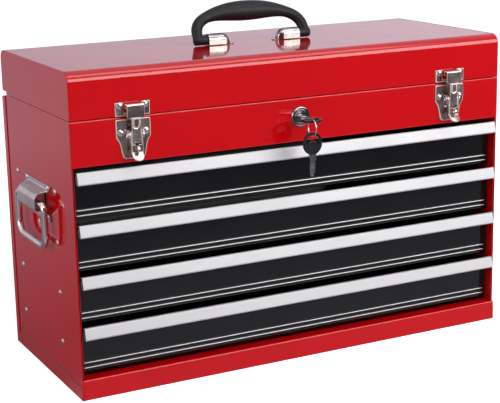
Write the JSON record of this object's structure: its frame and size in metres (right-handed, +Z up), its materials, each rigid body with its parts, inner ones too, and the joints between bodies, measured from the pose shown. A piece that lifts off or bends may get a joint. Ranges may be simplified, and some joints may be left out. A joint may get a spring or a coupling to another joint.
{
  "type": "portable tool box with drawers",
  "caption": "Portable steel tool box with full-width drawers, a lidded top till, draw latches, a keyed cam lock, a folding carry handle and drop handles at the ends.",
  "frame": {"origin": "centre of the underside, on the surface the box stands on", "axes": "+X to the box's right-hand end as seen from the front, +Y to the back, +Z up"},
  "size_m": [0.5482, 0.2595, 0.3848],
  "materials": {
    "red_enamel": "gloss",
    "black_enamel": "satin",
    "trim": "satin anodised",
    "nickel": "bright nickel",
    "zinc": "zinc plated",
    "grip_plastic": "matte",
    "key_plastic": "matte",
    "lock_chrome": "polished"
  },
  "bodies": {
    "case": {"left_side_panel": "red_enamel", "right_side_panel": "red_enamel", "back_panel": "red_enamel", "bottom_pan": "red_enamel", "upper_front_panel": "red_enamel", "till_floor": "red_enamel", "left_rails": "zinc", "right_rails": "zinc", "rail_rivets": "zinc", "case_hinge_leaf": "zinc", "hinge_pin": "zinc", "left_latch_base": "nickel", "right_latch_base": "nickel", "latch_base_rivets": "nickel", "lever_pins": "nickel", "left_handle_bracket": "nickel", "right_handle_bracket": "nickel", "handle_rivets": "nickel", "lock_barrel": "lock_chrome", "lock_nut": "lock_chrome"},
    "lid": {"lid_skin": "red_enamel", "lid_left_end": "red_enamel", "lid_right_end": "red_enamel", "lid_hinge_leaf": "zinc", "left_keeper": "nickel", "right_keeper": "nickel", "keeper_rivets": "nickel", "left_carry_bracket": "nickel", "right_carry_bracket": "nickel", "lid_strike": "zinc"},
    "carry_handle": {"carry_grip": "grip_plastic", "grip_trunnions": "grip_plastic"},
    "left_lever": {"left_lever": "nickel", "left_claw_pin": "nickel"},
    "right_lever": {"right_lever": "nickel", "right_claw_pin": "nickel"},
    "left_claw": {"left_claw": "nickel"},
    "right_claw": {"right_claw": "nickel"},
    "left_bail": {"left_bail": "nickel"},
    "right_bail": {"right_bail": "nickel"},
    "lock_plug": {"lock_plug": "lock_chrome", "lock_cam": "zinc", "cam_screw": "zinc"},
    "key_1": {"key_1_blade": "lock_chrome", "key_1_head": "key_plastic"},
    "key_ring": {"key_ring": "lock_chrome"},
    "key_2": {"key_2_blade": "lock_chrome", "key_2_head": "key_plastic"},
    "drawer_1": {"drawer_1_tray": "black_enamel", "drawer_1_pull": "trim", "drawer_1_runners": "zinc"},
    "drawer_2": {"drawer_2_tray": "black_enamel", "drawer_2_pull": "trim", "drawer_2_runners": "zinc"},
    "drawer_3": {"drawer_3_tray": "black_enamel", "drawer_3_pull": "trim", "drawer_3_runners": "zinc"},
    "drawer_4": {"drawer_4_tray": "black_enamel", "drawer_4_pull": "trim", "drawer_4_runners": "zinc"}
  },
  "joints": [
    {"name": "lid_hinge", "type": "hinge", "parent": "case", "child": "lid", "pos_m": [0, 0.10755, 0.291], "axis": [-1, 0, 0], "range_deg": [0, 100]},
    {"name": "carry_hinge", "type": "hinge", "parent": "lid", "child": "carry_handle", "pos_m": [0, 0, 0.346], "axis": [-1, 0, 0], "range_deg": [-110, 46]},
    {"name": "left_lever_hinge", "type": "hinge", "parent": "case", "child": "left_lever", "pos_m": [-0.192, -0.1131, 0.273], "axis": [-1, 0, 0], "range_deg": [0, 100]},
    {"name": "left_claw_hinge", "type": "hinge", "parent": "left_lever", "child": "left_claw", "pos_m": [-0.192, -0.1131, 0.267], "axis": [-1, 0, 0], "range_deg": [-90, 0]},
    {"name": "right_lever_hinge", "type": "hinge", "parent": "case", "child": "right_lever", "pos_m": [0.192, -0.1131, 0.273], "axis": [-1, 0, 0], "range_deg": [0, 100]},
    {"name": "right_claw_hinge", "type": "hinge", "parent": "right_lever", "child": "right_claw", "pos_m": [0.192, -0.1131, 0.267], "axis": [-1, 0, 0], "range_deg": [-90, 0]},
    {"name": "left_bail_hinge", "type": "hinge", "parent": "case", "child": "left_bail", "pos_m": [-0.2686, 0, 0.1945], "axis": [0, 1, 0], "range_deg": [0, 90]},
    {"name": "right_bail_hinge", "type": "hinge", "parent": "case", "child": "right_bail", "pos_m": [0.2686, 0, 0.1945], "axis": [0, -1, 0], "range_deg": [0, 90]},
    {"name": "drawer_1_slide", "type": "slide", "parent": "case", "child": "drawer_1", "axis": [0, -1, 0], "range_m": [0, 0.156]},
    {"name": "drawer_2_slide", "type": "slide", "parent": "case", "child": "drawer_2", "axis": [0, -1, 0], "range_m": [0, 0.156]},
    {"name": "drawer_3_slide", "type": "slide", "parent": "case", "child": "drawer_3", "axis": [0, -1, 0], "range_m": [0, 0.156]},
    {"name": "drawer_4_slide", "type": "slide", "parent": "case", "child": "drawer_4", "axis": [0, -1, 0], "range_m": [0, 0.156]},
    {"name": "lock_turn", "type": "hinge", "parent": "case", "child": "lock_plug", "pos_m": [0, -0.1, 0.271], "axis": [0, 1, 0], "range_deg": [0, 90]},
    {"name": "key_1_slide", "type": "slide", "parent": "lock_plug", "child": "key_1", "axis": [0, -1, 0], "range_m": [0, 0.03]},
    {"name": "ring_swing", "type": "hinge", "parent": "key_1", "child": "key_ring", "pos_m": [-0.0045, -0.14045, 0.26466], "axis": [-1, 0, 0], "range_deg": [-12, 45]},
    {"name": "key_2_swing", "type": "hinge", "parent": "key_ring", "child": "key_2", "pos_m": [-0.0045, -0.14045, 0.25877], "axis": [-1, 0, 0], "range_deg": [-12, 45]}
  ],
  "couplings": [
    {"joint": "left_claw_hinge", "follows": "left_lever_hinge", "ratio": -0.87},
    {"joint": "right_claw_hinge", "follows": "right_lever_hinge", "ratio": -0.87}
  ]
}
